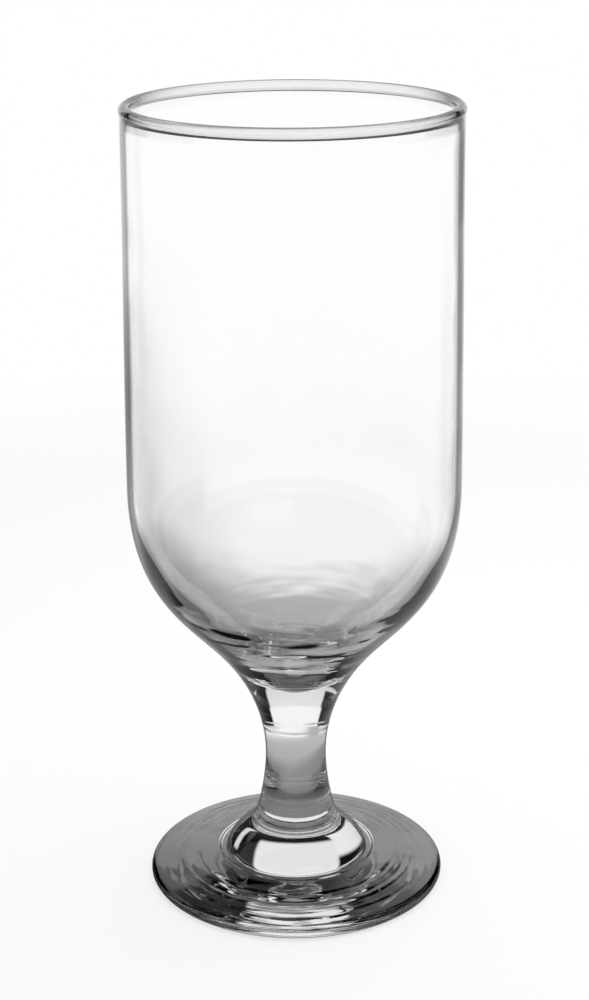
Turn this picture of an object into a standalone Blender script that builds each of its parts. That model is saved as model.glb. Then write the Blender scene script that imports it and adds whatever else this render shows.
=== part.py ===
"""A clear glass beer goblet: a blown bowl, a short solid stem and a pressed foot.

Metres, +Z up. The origin is on the turning axis, in the plane that the foot stands on.
Every piece is turned from an outline of (radius, height) points about that axis. A pull is
how far a curve of the outline keeps to its direction at one of its ends.
"""
import math

import bpy
from mathutils import Vector
from mathutils.geometry import interpolate_bezier

# The whole glass
HEIGHT = 0.178
TURN_STEPS = 64
SAME_POINT = 0.0000001
MERGE_DISTANCE = 0.00001

# Outside of the bowl: a nearly upright wall that is widest low down, and a funnel below it
WALL_TOP_RADIUS = 0.0360
BELLY_RADIUS = 0.0368
BELLY_HEIGHT = 0.095
FUNNEL_RADIUS = 0.0188
FUNNEL_HEIGHT = 0.0573
FUNNEL_ANGLE = math.radians(42.7)
WALL_PULL = 0.0250
SHOULDER_PULL = 0.0224
FUNNEL_PULL = 0.0125

# Rim: a round bead melted from the wall's own edge
BEAD_OUTER_RADIUS = 0.0362
BEAD_SIZE = 0.0026

# Inside of the bowl: thin at the rim, thick and round at the bottom
WALL_TOP_THICKNESS = 0.0015
WALL_BELLY_THICKNESS = 0.0018
FUNNEL_THICKNESS = 0.0031
INNER_BOTTOM_HEIGHT = 0.0500
INNER_BOTTOM_PULL = 0.0030
INNER_FUNNEL_LOWER_PULL = 0.0040
INNER_FUNNEL_UPPER_PULL = 0.0118
INNER_SHOULDER_PULL = 0.0200

# Stem, and the heights of the two fused joints that it stands between
WAIST_RADIUS = 0.0069
WAIST_HEIGHT = 0.0298
WAIST_UPPER_PULL = 0.0090
WAIST_LOWER_PULL = 0.0040
BOWL_JOINT_HEIGHT = 0.0375
FOOT_JOINT_HEIGHT = 0.0201
JOINT_GAP = 0.0003

# Foot: a bell-shaped boss on a gently conical disc with a round edge and a slightly hollow underside
NECK_RADIUS = 0.0099
NECK_HEIGHT = 0.0139
NECK_ANGLE = math.radians(31.6)
NECK_UPPER_PULL = 0.0039
NECK_LOWER_PULL = 0.0013
BOSS_RADIUS = 0.0162
BOSS_HEIGHT = 0.0062
BOSS_PULL = 0.0026
COVE_WIDTH = 0.0030
COVE_HEIGHT = 0.0059
COVE_INNER_PULL = 0.0006
COVE_OUTER_PULL = 0.0018
FOOT_RADIUS = 0.03375
EDGE_THICKNESS = 0.0030
REST_RING_INNER_RADIUS = 0.0290
HOLLOW_DEPTH = 0.0003
HOLLOW_SHARES = 5

# Clear soda-lime glass, drawn almost colourless
GLASS_COLOUR = (0.94, 0.95, 0.95, 1.0)
GLASS_ROUGHNESS = 0.03
GLASS_IOR = 1.52


def point(radius, height):
    """A point of an outline, in the plane that holds the turning axis."""
    return Vector((radius, 0.0, height))


def slant(angle, length):
    """A step of this length, leaning outwards from straight up by the angle."""
    return point(math.sin(angle) * length, math.cos(angle) * length)


def curve(start, start_handle, end_handle, end, count):
    """Points along one cubic curve, with both its ends."""
    return interpolate_bezier(start, start + start_handle, end + end_handle, end, count)


def arc(centre, radius, start_angle, end_angle, count):
    """Points along a circle, by angle from straight outwards."""
    step = (end_angle - start_angle) / (count - 1)
    angles = [start_angle + step * i for i in range(count)]
    return [centre + point(math.cos(a) * radius, math.sin(a) * radius) for a in angles]


def joined(*runs):
    """One outline from runs that follow each other, with shared end points kept once."""
    outline = list(runs[0])
    for run in runs[1:]:
        starts_alike = (run[0] - outline[-1]).length < SAME_POINT
        outline.extend(run[1:] if starts_alike else run)
    return outline


def stretch(outline, top, bottom):
    """The stretch of a falling outline between two heights, with an end point at each."""
    cut = []
    for high, low in zip(outline, outline[1:]):
        for level in (top, bottom):
            if low.z < level < high.z:
                cut.append(high.lerp(low, (high.z - level) / (high.z - low.z)))
    inside = [p for p in outline if bottom <= p.z <= top]
    return sorted(inside + cut, key=lambda p: -p.z)


def bead_centre():
    """The middle of the rim's round bead."""
    return point(BEAD_OUTER_RADIUS - BEAD_SIZE / 2, HEIGHT - BEAD_SIZE / 2)


def bead_meets(wall_radius):
    """The angle on the bead at which a wall face of this radius runs into its underside."""
    return math.acos((wall_radius - bead_centre().x) / (BEAD_SIZE / 2))


def outer_side():
    """The outside of bowl, stem and boss as one falling curve, from the bead to the boss."""
    bead_foot = arc(bead_centre(), BEAD_SIZE / 2, -bead_meets(WALL_TOP_RADIUS), 0.0, 2)[0]
    belly = point(BELLY_RADIUS, BELLY_HEIGHT)
    funnel = point(FUNNEL_RADIUS, FUNNEL_HEIGHT)
    waist = point(WAIST_RADIUS, WAIST_HEIGHT)
    neck = point(NECK_RADIUS, NECK_HEIGHT)
    boss = point(BOSS_RADIUS, BOSS_HEIGHT)
    up = point(0.0, 1.0)
    return joined(
        curve(bead_foot, -WALL_PULL * up, WALL_PULL * up, belly, 6),
        curve(belly, -SHOULDER_PULL * up, slant(FUNNEL_ANGLE, FUNNEL_PULL), funnel, 12),
        curve(funnel, slant(FUNNEL_ANGLE, -FUNNEL_PULL), WAIST_UPPER_PULL * up, waist, 12),
        curve(waist, -WAIST_LOWER_PULL * up, slant(-NECK_ANGLE, NECK_UPPER_PULL), neck, 9),
        curve(neck, slant(-NECK_ANGLE, -NECK_LOWER_PULL), BOSS_PULL * up, boss, 8),
    )


def bowl_inside():
    """The inside of the bowl as one rising curve, from its bottom to the bead."""
    bottom = point(0.0, INNER_BOTTOM_HEIGHT)
    inward = slant(FUNNEL_ANGLE - math.pi / 2, FUNNEL_THICKNESS)
    funnel = point(FUNNEL_RADIUS, FUNNEL_HEIGHT) + inward
    belly = point(BELLY_RADIUS - WALL_BELLY_THICKNESS, BELLY_HEIGHT)
    top_angle = bead_meets(WALL_TOP_RADIUS - WALL_TOP_THICKNESS)
    bead_foot = arc(bead_centre(), BEAD_SIZE / 2, 2 * math.pi - top_angle, math.pi, 2)[0]
    up = point(0.0, 1.0)
    along = slant(FUNNEL_ANGLE, 1.0)
    return joined(
        curve(bottom, point(INNER_BOTTOM_PULL, 0.0), -INNER_FUNNEL_LOWER_PULL * along, funnel, 9),
        curve(funnel, INNER_FUNNEL_UPPER_PULL * along, -INNER_SHOULDER_PULL * up, belly, 11),
        curve(belly, WALL_PULL * up, -WALL_PULL * up, bead_foot, 5),
    )


def bowl_outline():
    """Up the inside of the bowl, over the bead, down the outside and in along the joint."""
    inner_angle = 2 * math.pi - bead_meets(WALL_TOP_RADIUS - WALL_TOP_THICKNESS)
    outer_angle = -bead_meets(WALL_TOP_RADIUS)
    bead = arc(bead_centre(), BEAD_SIZE / 2, inner_angle, outer_angle, 13)
    outside = stretch(outer_side(), HEIGHT, BOWL_JOINT_HEIGHT)
    return joined(bowl_inside(), bead, outside, [point(0.0, BOWL_JOINT_HEIGHT)])


def stem_outline():
    """Across the upper joint, down the outside and in along the lower joint."""
    top = BOWL_JOINT_HEIGHT - JOINT_GAP
    outside = stretch(outer_side(), top, FOOT_JOINT_HEIGHT)
    return joined([point(0.0, top)], outside, [point(0.0, FOOT_JOINT_HEIGHT)])


def foot_outline():
    """Across the joint, down the boss, out over the disc, round its edge and in underneath."""
    top = FOOT_JOINT_HEIGHT - JOINT_GAP
    outside = stretch(outer_side(), top, BOSS_HEIGHT)
    edge_radius = EDGE_THICKNESS / 2
    edge_centre = point(FOOT_RADIUS - edge_radius, edge_radius)
    cove_end = point(BOSS_RADIUS + COVE_WIDTH, COVE_HEIGHT)
    disc_slope = math.atan2(COVE_HEIGHT - EDGE_THICKNESS, edge_centre.x - cove_end.x)
    edge = arc(edge_centre, edge_radius, math.pi / 2 - disc_slope, -math.pi / 2, 9)
    fall = (edge[0] - cove_end).normalized()
    cove = curve(outside[-1], point(0.0, -COVE_INNER_PULL), -COVE_OUTER_PULL * fall, cove_end, 5)
    shares = [1.0 - i / HOLLOW_SHARES for i in range(HOLLOW_SHARES + 1)]
    hollow = [point(REST_RING_INNER_RADIUS * s, HOLLOW_DEPTH * (1.0 - s * s)) for s in shares]
    return joined([point(0.0, top)], outside, cove, edge, hollow)


def clear_glass(name):
    """Clear, bright, almost colourless glass."""
    material = bpy.data.materials.new(name)
    material.use_nodes = True
    shader = material.node_tree.nodes["Principled BSDF"]
    shader.inputs["Base Color"].default_value = GLASS_COLOUR
    shader.inputs["Metallic"].default_value = 0.0
    shader.inputs["Roughness"].default_value = GLASS_ROUGHNESS
    shader.inputs["IOR"].default_value = GLASS_IOR
    shader.inputs["Transmission Weight"].default_value = 1.0
    return material


def turned(name, outline, collection, axis):
    """One closed piece, turned from its outline about the axis."""
    mesh = bpy.data.meshes.new(name)
    mesh.from_pydata(outline, [(i, i + 1) for i in range(len(outline) - 1)], [])
    mesh.materials.append(clear_glass(name + "_glass"))
    piece = bpy.data.objects.new(name, mesh)
    piece.parent = axis
    collection.objects.link(piece)
    screw = piece.modifiers.new("turned", "SCREW")
    screw.axis = "Z"
    screw.angle = 2 * math.pi
    screw.steps = TURN_STEPS
    screw.render_steps = TURN_STEPS
    screw.use_smooth_shade = True
    screw.use_merge_vertices = True
    screw.merge_threshold = MERGE_DISTANCE
    return piece


for old in list(bpy.data.objects):
    bpy.data.objects.remove(old, do_unlink=True)

goblet = bpy.data.collections.new("beer_goblet")
bpy.context.scene.collection.children.link(goblet)
turning_axis = bpy.data.objects.new("turning_axis", None)
goblet.objects.link(turning_axis)

turned("bowl", bowl_outline(), goblet, turning_axis)
turned("stem", stem_outline(), goblet, turning_axis)
turned("foot", foot_outline(), goblet, turning_axis)
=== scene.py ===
import math

import bpy
from mathutils import Matrix, Vector
from mathutils.geometry import interpolate_bezier


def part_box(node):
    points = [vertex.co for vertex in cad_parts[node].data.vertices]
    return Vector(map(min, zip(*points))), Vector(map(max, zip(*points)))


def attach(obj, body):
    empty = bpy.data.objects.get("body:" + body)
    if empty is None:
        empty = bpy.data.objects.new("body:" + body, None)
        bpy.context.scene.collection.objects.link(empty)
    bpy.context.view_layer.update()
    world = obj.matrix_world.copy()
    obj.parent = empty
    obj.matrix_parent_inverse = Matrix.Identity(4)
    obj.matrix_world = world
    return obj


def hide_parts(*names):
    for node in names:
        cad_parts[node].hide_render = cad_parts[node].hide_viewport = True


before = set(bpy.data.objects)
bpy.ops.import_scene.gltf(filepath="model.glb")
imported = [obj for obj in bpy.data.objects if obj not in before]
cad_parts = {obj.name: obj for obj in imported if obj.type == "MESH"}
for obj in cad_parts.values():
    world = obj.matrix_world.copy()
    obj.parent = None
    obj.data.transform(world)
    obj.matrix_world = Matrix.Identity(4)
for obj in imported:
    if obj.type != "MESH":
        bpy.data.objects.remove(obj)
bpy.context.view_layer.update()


# The foot is pressed in a mould from one gather of clear soda-lime glass: a bell-shaped boss on a gently
# conical disc, with a fire-polished edge and a slightly hollow underside that stands on a flat ring.
# Its top is fused hot to the stem, so the two share one flank, drawn here from the stem's waist.
foot_top = (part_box("foot")[1].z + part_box("stem")[0].z) / 2
foot_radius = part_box("foot")[1].x
foot_edge_thickness = 0.0030
foot_rest_ring_inner_radius = 0.0290
foot_hollow_depth = 0.0003
waist_radius = 0.0069
waist_height = 0.0298
waist_lower_pull = 0.0040
neck_radius = 0.0099
neck_height = 0.0139
neck_angle = math.radians(31.6)
neck_upper_pull = 0.0039
neck_lower_pull = 0.0013
boss_radius = 0.0162
boss_height = 0.0062
boss_pull = 0.0026
cove_width = 0.0030
cove_height = 0.0059
cove_inner_pull = 0.0006
cove_outer_pull = 0.0018
cove_ring_depth = 0.00008
cove_ring_pitch = 0.0011
disc_ring_depth = 0.00004
disc_ring_pitch = 0.0023
disc_wave_depth = 0.00070
disc_wave_size = 0.009
disc_wave_flatness = 1.0
second_ring_share = 0.6
second_ring_pitch = 0.61
neck_points = 90
boss_points = 60
cove_points = 48
disc_steps = 60
edge_points = 21
hollow_steps = 24
seam_swell = 0.00005
seam_width = 0.00035
fused_gap = 0.00001
turn_steps = 192
merge_distance = 0.000002
crease_angle = math.radians(40)
level_face = 0.999
upward_face = 0.5
glass_index = 1.52
glass_clear = (0.985, 0.988, 0.987, 1.0)
# Painted shade: glass seen edge on is coloured near black, in place of the dark edges its surroundings
# would give.
glass_edge_painted_shade = (0.030, 0.034, 0.034, 1.0)
glass_edge_painted_shade_span = (0.70, 0.76)
glass_edge_painted_shade_blend = 0.5
smooth_glass = 0.008
marked_glass = 0.030
foot_shade = (0.88, 0.88, 0.88, 1.0)
foot_mark_scale = (150.0, 150.0, 450.0)
foot_mark_depth = 0.00002
mark_detail = 3.0


def point(radius, height):
    """A point of a half outline, in the plane of the turning axis."""
    return Vector((radius, 0.0, height))


def slant(angle, length):
    """A step of this length that leans outwards from straight up by the angle."""
    return point(math.sin(angle) * length, math.cos(angle) * length)


def curve(start, start_pull, end_pull, end, count):
    """Points along one cubic curve that leaves each end along its pull."""
    return interpolate_bezier(start, start + start_pull, end + end_pull, end, count)


def arc(centre, radius, start_angle, end_angle, count):
    """Points along a circle, by angle from straight outwards."""
    turns = [start_angle + (end_angle - start_angle) * i / (count - 1) for i in range(count)]
    return [centre + point(math.cos(a) * radius, math.sin(a) * radius) for a in turns]


def cut(falling, top, bottom):
    """The stretch of a falling run of points between two heights, with an end point at each."""
    crossings = [
        high.lerp(low, (high.z - level) / (high.z - low.z))
        for high, low in zip(falling, falling[1:])
        for level in (top, bottom)
        if low.z < level < high.z
    ]
    kept = [p for p in falling if bottom <= p.z <= top]
    return sorted(kept + crossings, key=lambda p: -p.z)


def ringed(run, depth, pitch):
    """The same run with shallow mould rings in it, which die out towards both its ends.

    A second, finer set of rings is laid over the first, by its shares of their depth and pitch.
    """
    total = sum((there - here).length for here, there in zip(run, run[1:]))
    gone = 0.0
    rings = [run[0]]
    for before, here, after in zip(run, run[1:], run[2:]):
        gone += (here - before).length
        along = (after - before).normalized()
        phase = 2 * math.pi * gone / pitch
        wave = math.sin(phase) + second_ring_share * math.sin(phase / second_ring_pitch)
        swell = depth * math.sin(math.pi * gone / total) ** 2 * wave
        rings.append(here + swell * point(-along.z, along.x))
    return rings + [run[-1]]


def seamed(run, height):
    """The same run with the faint swell that is left where two pieces are fused."""
    return [
        p + point(seam_swell * math.exp(-(((p.z - height) / seam_width) ** 2)), 0.0)
        for p in run
    ]


def turned(name, outline):
    """A closed glass body: one vertex is extruded along the half outline, which is then spun."""
    bpy.ops.object.select_all(action="DESELECT")
    bpy.ops.mesh.primitive_plane_add(size=merge_distance)
    piece = bpy.context.object
    piece.name = name
    piece.data.name = name
    bpy.ops.object.mode_set(mode="EDIT")
    bpy.ops.mesh.merge(type="CENTER")
    bpy.ops.transform.translate(value=outline[0])
    for here, there in zip(outline, outline[1:]):
        if (there - here).length > merge_distance:
            bpy.ops.mesh.extrude_vertices_move(TRANSFORM_OT_translate={"value": there - here})
    bpy.ops.mesh.select_all(action="SELECT")
    bpy.ops.mesh.spin(steps=turn_steps, angle=2 * math.pi, center=(0, 0, 0), axis=(0, 0, 1))
    bpy.ops.mesh.select_all(action="SELECT")
    bpy.ops.mesh.remove_doubles(threshold=merge_distance)
    bpy.ops.mesh.normals_make_consistent(inside=False)
    bpy.ops.object.mode_set(mode="OBJECT")
    bpy.ops.object.shade_smooth_by_angle(angle=crease_angle)
    return piece


def eased_step(low, high, value):
    """0 below low and 1 above high, with a smooth climb between."""
    share = min(1.0, max(0.0, (value - low) / (high - low)))
    return share * share * (3 - 2 * share)


def uneven(piece, depth, size, flatness, share_at):
    """Hand-made unevenness: soft waves in the faces, by a share given for each vertex.

    A flatness below 1 makes the waves that much lower than they are wide.
    """
    waves = bpy.data.textures.new(piece.name + "_waves", "CLOUDS")
    waves.noise_scale = size
    waves.noise_depth = 1
    reach = piece.vertex_groups.new(name="uneven")
    for vertex in piece.data.vertices:
        reach.add([vertex.index], share_at(vertex.co, vertex.normal), "REPLACE")
    bpy.ops.object.select_all(action="DESELECT")
    bpy.ops.object.empty_add()
    ruler = bpy.context.object
    ruler.scale = (1.0, 1.0, flatness)
    bpy.context.view_layer.update()
    push = piece.modifiers.new("uneven", "DISPLACE")
    push.texture = waves
    push.texture_coords = "OBJECT"
    push.texture_coords_object = ruler
    push.vertex_group = reach.name
    push.strength = depth
    push.mid_level = 0.5
    bpy.context.view_layer.objects.active = piece
    bpy.ops.object.modifier_apply(modifier=push.name)
    piece.vertex_groups.clear()
    bpy.data.objects.remove(ruler, do_unlink=True)


class Wire:
    """A shader node's output that is worked with as a number."""

    def __init__(self, tree, node, output=0):
        self.tree = tree
        self.node = node
        self.output = output

    @classmethod
    def new(cls, tree, kind, settings=None, sockets=None, output=0):
        """The one way to add a node: its type, its settings and what goes into its sockets."""
        node = tree.nodes.new(kind)
        for key, value in (settings or {}).items():
            setattr(node, key, value)
        for key, value in (sockets or {}).items():
            if isinstance(value, Wire):
                tree.links.new(value.node.outputs[value.output], node.inputs[key])
            else:
                node.inputs[key].default_value = value
        return cls(tree, node, output)

    def math(self, operation, *others):
        """One Math node, on this number and the others."""
        values = dict(enumerate((self, *others)))
        return Wire.new(self.tree, "ShaderNodeMath", {"operation": operation}, values)

    def __add__(self, other):
        return self.math("ADD", other)

    __radd__ = __add__

    def __mul__(self, other):
        return self.math("MULTIPLY", other)

    __rmul__ = __mul__

    def __sub__(self, other):
        return self.math("SUBTRACT", other)

    def __rsub__(self, other):
        return self * -1.0 + other

    def __or__(self, other):
        return self.math("MAXIMUM", other)

    def eased(self, low, high):
        """0 below low and 1 above high, with a smooth climb between."""
        limits = {"Value": self, "From Min": low, "From Max": high}
        return Wire.new(self.tree, "ShaderNodeMapRange", {"interpolation_type": "SMOOTHSTEP"}, limits)


def blank_tree(owner):
    """The emptied node tree of a new material or world."""
    owner.use_nodes = True
    owner.node_tree.nodes.clear()
    return owner.node_tree


def clear_glass(name, mark_scale, mark_depth, shade, clear, edge, painted_shade_span):
    """Glass with fine chill marks and a pale shadow, and a painted shade: one colour seen flat, a dark one
    seen edge on.
    """
    material = bpy.data.materials.new(name)
    tree = blank_tree(material)
    place = Wire.new(tree, "ShaderNodeTexCoord", output="Object")
    stretched = Wire.new(tree, "ShaderNodeMapping", sockets={"Vector": place, "Scale": mark_scale})
    marks = Wire.new(
        tree,
        "ShaderNodeTexNoise",
        sockets={"Vector": stretched, "Scale": 1.0, "Detail": mark_detail},
    )
    bump = Wire.new(tree, "ShaderNodeBump", sockets={"Height": marks, "Distance": mark_depth})
    facing = Wire.new(tree, "ShaderNodeLayerWeight", sockets={"Blend": glass_edge_painted_shade_blend}, output="Facing")
    # A Mix node's colour sockets go by number, because its other kinds have sockets of the same names.
    colour_a, colour_b, colour_out = 6, 7, 2
    # Painted shade: the colour goes from the clear one to the dark edge one as the face turns edge on to
    # the view.
    painted_edge_shade = Wire.new(
        tree,
        "ShaderNodeMix",
        {"data_type": "RGBA"},
        {"Factor": facing.eased(*painted_shade_span), colour_a: clear, colour_b: edge},
        output=colour_out,
    )
    glass = Wire.new(
        tree,
        "ShaderNodeBsdfPrincipled",
        sockets={
            "Base Color": painted_edge_shade,
            "Roughness": smooth_glass + marks * (marked_glass - smooth_glass),
            "IOR": glass_index,
            "Transmission Weight": 1.0,
            "Normal": bump,
        },
    )
    shadow = Wire.new(tree, "ShaderNodeBsdfTransparent", sockets={"Color": shade})
    lamp_ray = Wire.new(tree, "ShaderNodeLightPath", output="Is Shadow Ray")
    spread_ray = Wire.new(tree, "ShaderNodeLightPath", output="Is Diffuse Ray")
    unseen_ray = lamp_ray | spread_ray
    shown = Wire.new(tree, "ShaderNodeMixShader", sockets={0: unseen_ray, 1: glass, 2: shadow})
    Wire.new(tree, "ShaderNodeOutputMaterial", sockets={"Surface": shown})
    return material


def fused_joint():
    """Where two pieces are fused the glass runs on unbroken, so the faces inside don't show."""
    material = bpy.data.materials.new("fused_joint")
    tree = blank_tree(material)
    through = Wire.new(tree, "ShaderNodeBsdfTransparent")
    Wire.new(tree, "ShaderNodeOutputMaterial", sockets={"Surface": through})
    return material


def dress(piece, materials, choose):
    """Gives a piece its materials, and each of its faces the one that is chosen for it by number."""
    for material in materials:
        piece.data.materials.append(material)
    for face in piece.data.polygons:
        face.material_index = choose(face)


def fused(face, *joint_heights):
    """Whether a face lies in one of the fused joints."""
    level = abs(face.normal.z) > level_face
    return level and any(abs(face.center.z - height) < fused_gap for height in joint_heights)


def disc_share(place, normal):
    """The top of the disc is the uneven part of the foot: it is pressed with a cool plunger."""
    radius = math.hypot(place.x, place.y)
    on_disc = eased_step(boss_radius + cove_width, boss_radius + 2 * cove_width, radius)
    inside_edge = 1 - eased_step(foot_radius - 2 * foot_edge_thickness, foot_radius - edge_half, radius)
    return on_disc * inside_edge if normal.z > upward_face else 0.0


joint_material = fused_joint()
waist = point(waist_radius, waist_height)
neck = point(neck_radius, neck_height)
boss = point(boss_radius, boss_height)
up = point(0.0, 1.0)
flank = curve(waist, -waist_lower_pull * up, slant(-neck_angle, neck_upper_pull), neck, neck_points)
flank += curve(neck, slant(-neck_angle, -neck_lower_pull), boss_pull * up, boss, boss_points)[1:]
flank = seamed(flank, foot_top)
edge_half = foot_edge_thickness / 2
edge_centre = point(foot_radius - edge_half, edge_half)
cove_end = point(boss_radius + cove_width, cove_height)
disc_slope = math.atan2(cove_height - foot_edge_thickness, edge_centre.x - cove_end.x)
edge = arc(edge_centre, edge_half, math.pi / 2 - disc_slope, -math.pi / 2, edge_points)
disc_fall = (edge[0] - cove_end).normalized()
cove = curve(boss, -cove_inner_pull * up, -cove_outer_pull * disc_fall, cove_end, cove_points)
cove = ringed(cove, cove_ring_depth, cove_ring_pitch)
disc = [cove_end.lerp(edge[0], i / disc_steps) for i in range(disc_steps + 1)]
disc = ringed(disc, disc_ring_depth, disc_ring_pitch)
shares = [1 - i / hollow_steps for i in range(hollow_steps + 1)]
hollow = [point(foot_rest_ring_inner_radius * s, foot_hollow_depth * (1 - s * s)) for s in shares]
foot_face = foot_top - fused_gap / 2
boss_side = cut(flank, foot_face, boss_height)
foot = turned("pressed_foot", [point(0.0, foot_face)] + boss_side + cove + disc + edge + hollow)
uneven(foot, disc_wave_depth, disc_wave_size, disc_wave_flatness, disc_share)
foot_marks = (foot_mark_scale, foot_mark_depth, foot_shade)
foot_glass = clear_glass("foot_glass", *foot_marks, glass_clear, glass_edge_painted_shade, glass_edge_painted_shade_span)
dress(foot, [foot_glass, joint_material], lambda face: int(fused(face, foot_face)))
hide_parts("foot")
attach(foot, "root")


# The stem is a short solid pillar of the same glass, drawn out hot and waisted in the middle.
# Both its ends are fused: to the foot below, and to the solid tail of the bowl above.
bowl_tail = (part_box("stem")[1].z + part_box("bowl")[0].z) / 2
funnel_radius = 0.0188
funnel_height = 0.0573
funnel_angle = math.radians(42.7)
funnel_pull = 0.0125
waist_upper_pull = 0.0090
stem_shade = (0.86, 0.86, 0.86, 1.0)
stem_mark_scale = (110.0, 110.0, 620.0)
stem_mark_depth = 0.00002
tail_points = 160

funnel = point(funnel_radius, funnel_height)
tail = curve(funnel, slant(funnel_angle, -funnel_pull), waist_upper_pull * up, waist, tail_points)
tail = seamed(tail, bowl_tail)
stem_top = bowl_tail - fused_gap / 2
stem_foot = foot_top + fused_gap / 2
stem_side = cut(tail + flank[1:], stem_top, stem_foot)
stem = turned("solid_stem", [point(0.0, stem_top)] + stem_side + [point(0.0, stem_foot)])
stem_marks = (stem_mark_scale, stem_mark_depth, stem_shade)
stem_glass = clear_glass("stem_glass", *stem_marks, glass_clear, glass_edge_painted_shade, glass_edge_painted_shade_span)
dress(stem, [stem_glass, joint_material], lambda face: int(fused(face, stem_top, stem_foot)))
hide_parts("stem")
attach(stem, "root")


# The bowl is blown: a thin, nearly upright wall that thickens into a round bottom and a solid tail.
# Its cut edge is melted by flame into a round bead, and its tail is fused to the stem.
rim_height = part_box("bowl")[1].z
belly_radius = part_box("bowl")[1].x
belly_height = 0.095
wall_top_radius = 0.0360
wall_top_thickness = 0.0015
wall_belly_thickness = 0.0018
wall_pull = 0.0250
shoulder_pull = 0.0224
bead_size = 0.0026
bead_outer_radius = 0.0362
funnel_thickness = 0.0031
inner_bottom_height = 0.0500
inner_bottom_pull = 0.0030
inner_funnel_lower_pull = 0.0040
inner_funnel_upper_pull = 0.0118
inner_shoulder_pull = 0.0200
bottom_ring_depth = 0.00008
bottom_ring_pitch = 0.0020
settle_rings_start = 0.011
settle_rings_end = 0.022
settle_ring_depth = 0.00002
settle_ring_pitch = 0.0034
settle_wave_depth = 0.00060
settle_wave_size = 0.012
settle_wave_flatness = 0.33
settle_wave_height = 0.078
wall_wave_depth = 0.00020
wall_wave_size = 0.022
wall_wave_flatness = 1.0
bowl_shade = (0.95, 0.95, 0.95, 1.0)
bowl_mark_scale = (40.0, 40.0, 60.0)
bowl_mark_depth = 0.00002
# Painted shade: the bead's glass is coloured grey and darkens over a wider span of edge-on faces, so the
# thick bead reads grey.
rim_painted_grey_shade = (0.90, 0.905, 0.905, 1.0)
rim_painted_shade_span = (0.25, 0.82)
bead_points = 40
wall_points = 30
shoulder_points = 60
cup_lower_points = 80
cup_upper_points = 120
inner_wall_points = 60
outside_number, inside_number, rim_number, joint_number = range(4)

bead_centre = point(bead_outer_radius - bead_size / 2, rim_height - bead_size / 2)


def bead_meets(wall_radius):
    """The angle on the bead at which a wall face of this radius runs into its underside."""
    return math.acos((wall_radius - bead_centre.x) / (bead_size / 2))


def inside_share(place, normal):
    """The inside of the bowl is the uneven face: the mould shapes only the outside."""
    outwards = normal.x * place.x + normal.y * place.y
    below_bead = 1 - eased_step(rim_height - 3 * bead_size, rim_height - bead_size, place.z)
    above_tail = eased_step(inner_bottom_height, funnel_height, place.z)
    return below_bead * above_tail if outwards < 0 else 0.0


def settle_share(place, normal):
    """Low down the inside is more uneven: the soft glass settles there as it cools."""
    outwards = normal.x * place.x + normal.y * place.y
    above_bottom = eased_step(inner_bottom_height, inner_bottom_height + funnel_thickness, place.z)
    settled_zone = above_bottom * (1 - eased_step(funnel_height, settle_wave_height, place.z))
    return settled_zone if outwards < 0 else 0.0


def bowl_side(face):
    """The number of a face's material: outside, inside, bead or fused joint."""
    outwards = face.normal.x * face.center.x + face.normal.y * face.center.y
    if fused(face, bowl_face):
        return joint_number
    if face.center.z > rim_height - bead_size:
        return rim_number
    return inside_number if outwards < 0 else outside_number


bead_start = 2 * math.pi - bead_meets(wall_top_radius - wall_top_thickness)
bead = arc(bead_centre, bead_size / 2, bead_start, -bead_meets(wall_top_radius), bead_points)
belly = point(belly_radius, belly_height)
funnel_lead = slant(funnel_angle, funnel_pull)
outside = curve(bead[-1], -wall_pull * up, wall_pull * up, belly, wall_points)
outside += curve(belly, -shoulder_pull * up, funnel_lead, funnel, shoulder_points)[1:]
bowl_face = bowl_tail + fused_gap / 2
outside += cut(tail, funnel_height, bowl_face)[1:]
inner_funnel = funnel + slant(funnel_angle - math.pi / 2, funnel_thickness)
inner_belly = point(belly_radius - wall_belly_thickness, belly_height)
inner_bottom = point(0.0, inner_bottom_height)
bottom_lead = point(inner_bottom_pull, 0.0)
lower_lead = slant(funnel_angle, -inner_funnel_lower_pull)
upper_lead = slant(funnel_angle, inner_funnel_upper_pull)
cup = curve(inner_bottom, bottom_lead, lower_lead, inner_funnel, cup_lower_points)
cup += curve(inner_funnel, upper_lead, -inner_shoulder_pull * up, inner_belly, cup_upper_points)[1:]
inner_round = [p for p in cup if p.x < settle_rings_start]
inside = ringed(inner_round, bottom_ring_depth, bottom_ring_pitch)
settled = [p for p in cup if settle_rings_start <= p.x <= settle_rings_end]
inside += ringed(settled, settle_ring_depth, settle_ring_pitch)
inside += [p for p in cup if p.x > settle_rings_end]
inside += curve(inner_belly, wall_pull * up, -wall_pull * up, bead[0], inner_wall_points)[1:]
bowl = turned("blown_bowl", inside + bead[1:] + outside[1:] + [point(0.0, bowl_face)])
uneven(bowl, wall_wave_depth, wall_wave_size, wall_wave_flatness, inside_share)
uneven(bowl, settle_wave_depth, settle_wave_size, settle_wave_flatness, settle_share)
bowl_marks = (bowl_mark_scale, bowl_mark_depth, bowl_shade)
bowl_glass = clear_glass("bowl_glass", *bowl_marks, glass_clear, glass_edge_painted_shade, glass_edge_painted_shade_span)
inside_glass = clear_glass("bowl_inside_glass", *bowl_marks, glass_clear, glass_clear, glass_edge_painted_shade_span)
rim_glass_painted_shade = clear_glass("rim_glass_painted_shade", *bowl_marks, rim_painted_grey_shade, glass_edge_painted_shade, rim_painted_shade_span)
dress(bowl, [bowl_glass, inside_glass, rim_glass_painted_shade, joint_material], bowl_side)
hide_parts("bowl")
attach(bowl, "root")
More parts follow.
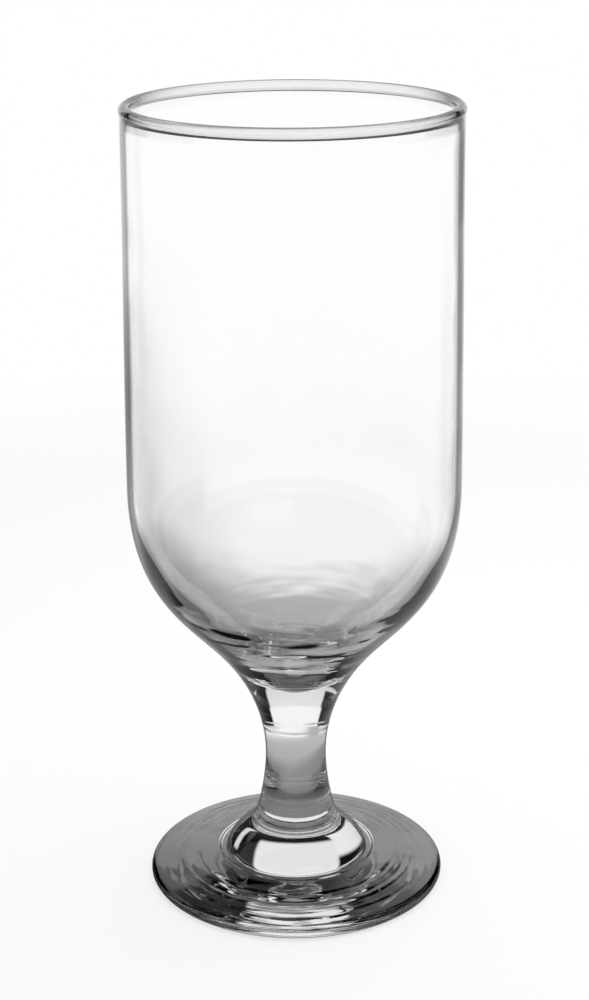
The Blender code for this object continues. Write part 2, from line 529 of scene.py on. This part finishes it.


# The floor is a plain pale board that runs out into the white backdrop and takes the glass's shadow.
# The camera sees it evenly pale. The glass shows painted shade on it instead: a grey pool close by,
# darkest at the front left, a soft streak at the back left and a patch at the back right, and white
# further off.
floor_radius = 0.60
floor_sides = 128
floor_fade = (0.25, 0.45)
floor_centre = (0.0, 0.0, 0.0)
floor_white = 0.95
# Painted shade on the floor, shown only in the glass: a dark pool close by, a grey ring, a grey streak and
# a grey patch.
floor_near_painted_shade_dark = 0.05
floor_near_painted_shade_light = 0.25
floor_near_lean = (0.45, 1.0, 0.0)
floor_near_reach = 0.022
floor_near_painted_shade_right = 0.15
floor_near_right_span = (0.004, 0.024)
floor_near_ends = (0.045, 0.075)
floor_middle_painted_shade = 0.45
floor_middle_ends = (0.10, 0.20)
floor_grey_centre = (-0.03, 0.0, 0.0)
floor_grey_shape = (0.7, 1.0, 1.0)
floor_streak_painted_shade = 0.46
floor_streak_outer = (math.radians(-40.0), math.radians(-28.0))
floor_streak_inner = (math.radians(-22.0), math.radians(-5.0))
floor_right_painted_shade = 0.64
floor_right_centre = (0.19, 0.24, 0.0)
floor_right_ends = (0.04, 0.15)


def measured(operation, vector, other):
    """A number from two vectors, such as the distance between them."""
    sockets = {0: vector, 1: other}
    return Wire.new(vector.tree, "ShaderNodeVectorMath", {"operation": operation}, sockets, output="Value")


def blend(share, start, end):
    """The start where the share is 0 and the end where it is 1."""
    return start + share * (end - start)


bpy.ops.object.select_all(action="DESELECT")
bpy.ops.mesh.primitive_circle_add(vertices=floor_sides, radius=floor_radius, fill_type="NGON")
floor = bpy.context.object
floor.name = "floor"
floor_paint = bpy.data.materials.new("floor_paint")
tree = blank_tree(floor_paint)
place = Wire.new(tree, "ShaderNodeTexCoord", output="Object")
shaped = Wire.new(
    tree,
    "ShaderNodeVectorMath",
    {"operation": "MULTIPLY"},
    {0: place, 1: floor_grey_shape},
)
rightwards = Wire.new(tree, "ShaderNodeSeparateXYZ", sockets={0: place}, output="X")
backwards = Wire(tree, rightwards.node, "Y")
bearing = rightwards.math("ARCTAN2", backwards)
lean = measured("DOT_PRODUCT", place, floor_near_lean)
from_glass = measured("DISTANCE", place, floor_centre)
from_grey = measured("DISTANCE", shaped, floor_grey_centre)
from_right = measured("DISTANCE", place, floor_right_centre)
# Painted shade: a dark pool round the foot, darkest at the front left and lighter to the right.
near_painted_shade = blend(lean.eased(-floor_near_reach, floor_near_reach), floor_near_painted_shade_dark, floor_near_painted_shade_light)
near_painted_shade = blend(rightwards.eased(*floor_near_right_span), near_painted_shade, floor_near_painted_shade_right)
middle = blend(from_grey.eased(*floor_near_ends), near_painted_shade, floor_middle_painted_shade)
# Painted shade: a grey streak at the back left and a grey patch at the back right.
painted_shade_streak = bearing.eased(*floor_streak_outer) * (1.0 - bearing.eased(*floor_streak_inner))
far_painted_shade = blend(painted_shade_streak, floor_white, floor_streak_painted_shade)
far_painted_shade = blend(from_right.eased(*floor_right_ends), floor_right_painted_shade, far_painted_shade)
painted_shade_tones = blend(from_grey.eased(*floor_middle_ends), middle, far_painted_shade)
mirrored = Wire.new(tree, "ShaderNodeLightPath", output="Is Glossy Ray")
refracted = Wire.new(tree, "ShaderNodeLightPath", output="Is Transmission Ray")
# Mirrored and refracted rays see the painted shade; the camera sees the floor evenly pale.
shade = blend(mirrored | refracted, floor_white, painted_shade_tones)
paint = Wire.new(tree, "ShaderNodeBsdfDiffuse", sockets={"Color": shade})
gone = Wire.new(tree, "ShaderNodeBsdfTransparent")
fade = from_glass.eased(*floor_fade)
faded = Wire.new(tree, "ShaderNodeMixShader", sockets={0: fade, 1: paint, 2: gone})
Wire.new(tree, "ShaderNodeOutputMaterial", sockets={"Surface": faded})
floor.data.materials.append(floor_paint)


# The studio is a dim room with white ground, cut by a black card to each side and a grey flag below it.
# Lit panels hang behind the glass, high on the left and on the camera's side, with a narrow one high on
# the right. The backdrop that the camera sees is plain white.
room = 0.006
ambient = 0.60
white = (1.0, 1.0, 1.0, 1.0)

# A turn is an angle to the right of straight behind, and a height the sine of an angle above level.
panel_softness = 0.03
ground_top = 0.12
card_bottom = -0.12
left_card_sides = (math.radians(-68.0), math.radians(-28.0))
right_card_sides = (math.radians(28.0), math.radians(105.0))
flag_bottom = -0.45
left_flag_top = (-0.28, -0.20)
left_flag_outer = (math.radians(-42.0), math.radians(-32.0))
left_flag_inner = (math.radians(-20.0), math.radians(-3.0))
left_flag_dims = 0.60
right_flag_top = -0.10
right_flag_sides = (math.radians(21.0), math.radians(38.0))
right_flag_dims = 0.38
back_glow = 0.84
left_glow = 0.90
right_glow = 0.80
front_glow = 0.60

world = bpy.data.worlds.new("studio")
bpy.context.scene.world = world
tree = blank_tree(world)
look = Wire.new(tree, "ShaderNodeTexCoord", output="Generated")
side = Wire.new(tree, "ShaderNodeSeparateXYZ", sockets={0: look}, output="X")
ahead = Wire(tree, side.node, "Y")
height = Wire(tree, side.node, "Z")
turn = side.math("ARCTAN2", ahead)


def edge_at(wire, place):
    """0 before this place and 1 after it, over the soft edge of a panel."""
    return wire.eased(place - panel_softness, place + panel_softness)


def between(wire, low, high):
    """1 between the two places and 0 outside them, with the same soft edges."""
    return edge_at(wire, low) * (1.0 - edge_at(wire, high))


def panel(towards, half_width, low, high):
    """A lit panel, by the turn of its middle and its half width in degrees, and its two heights."""
    off = (turn - math.radians(towards)).math("ABSOLUTE")
    return (1.0 - edge_at(off, math.radians(half_width))) * between(height, low, high)


left_card = between(turn, *left_card_sides) * edge_at(height, card_bottom)
right_card = between(turn, *right_card_sides) * edge_at(height, card_bottom)
left_flag = turn.eased(*left_flag_outer) * (1.0 - turn.eased(*left_flag_inner))
left_flag = left_flag * edge_at(height, flag_bottom) * (1.0 - height.eased(*left_flag_top))
right_flag = between(turn, *right_flag_sides) * between(height, flag_bottom, right_flag_top)
ground = 1.0 - edge_at(height, ground_top)
ground = ground * (1.0 - right_card) * (1.0 - left_card)
ground = ground * (1.0 - left_flag * left_flag_dims) * (1.0 - right_flag * right_flag_dims)
studio = (
    room
    + ground
    + back_glow * panel(towards=0.0, half_width=26.0, low=0.12, high=0.62)
    + left_glow * panel(towards=-47.0, half_width=21.0, low=0.45, high=0.75)
    + right_glow * panel(towards=50.0, half_width=4.0, low=0.45, high=0.80)
    + front_glow * panel(towards=165.0, half_width=25.0, low=0.24, high=0.60)
)
seen = Wire.new(tree, "ShaderNodeLightPath", output="Is Camera Ray")
mirrored = Wire.new(tree, "ShaderNodeLightPath", output="Is Glossy Ray")
refracted = Wire.new(tree, "ShaderNodeLightPath", output="Is Transmission Ray")
spread = Wire.new(tree, "ShaderNodeLightPath", output="Is Diffuse Ray")
strength = seen + (1.0 - seen) * (mirrored | refracted) * studio + spread * ambient
backdrop = Wire.new(tree, "ShaderNodeBackground", sockets={"Color": white, "Strength": strength})
Wire.new(tree, "ShaderNodeOutputWorld", sockets={"Surface": backdrop})


# One large softbox hangs over the glass, a little behind it and to its right. It gives the floor its
# light and the glass its soft shadow, and doesn't show in the glass.
softbox_place = Vector((0.10, 0.10, 0.80))
softbox_size = 0.50
softbox_radiance = 4.3

lamp = bpy.data.lights.new("overhead_softbox", "AREA")
lamp.shape = "SQUARE"
lamp.size = softbox_size
lamp.energy = softbox_radiance * math.pi * softbox_size * softbox_size
softbox = bpy.data.objects.new("overhead_softbox", lamp)
softbox.location = softbox_place
softbox.rotation_euler = softbox_place.to_track_quat("Z", "Y").to_euler()
softbox.visible_glossy = False
softbox.visible_transmission = False
bpy.context.scene.collection.objects.link(softbox)


# The camera stands at the photograph's viewing angle, a little above the rim, and looks down at the
# bowl's widest part. Its lens is worked out from a focal length in pixels of the photograph's frame.
camera_distance = 0.4383
camera_height = 0.2403
camera_pitch = math.radians(18.843)
camera_roll = math.radians(-0.3)
focal_pixels = 2098.0
image_height = 1000.0
sensor = 36.0
lens = bpy.data.cameras.new("camera")
lens.sensor_width = sensor
lens.lens = focal_pixels / image_height * sensor
camera = bpy.data.objects.new("camera", lens)
camera.location = (0.0, -camera_distance, camera_height)
sight = Vector((0.0, math.cos(camera_pitch), -math.sin(camera_pitch)))
aim = sight.to_track_quat("-Z", "Y").to_matrix()
camera.rotation_euler = (aim @ Matrix.Rotation(camera_roll, 3, "Z")).to_euler()
bpy.context.scene.collection.objects.link(camera)
bpy.context.scene.camera = camera
bpy.context.scene.view_settings.view_transform = "Standard"
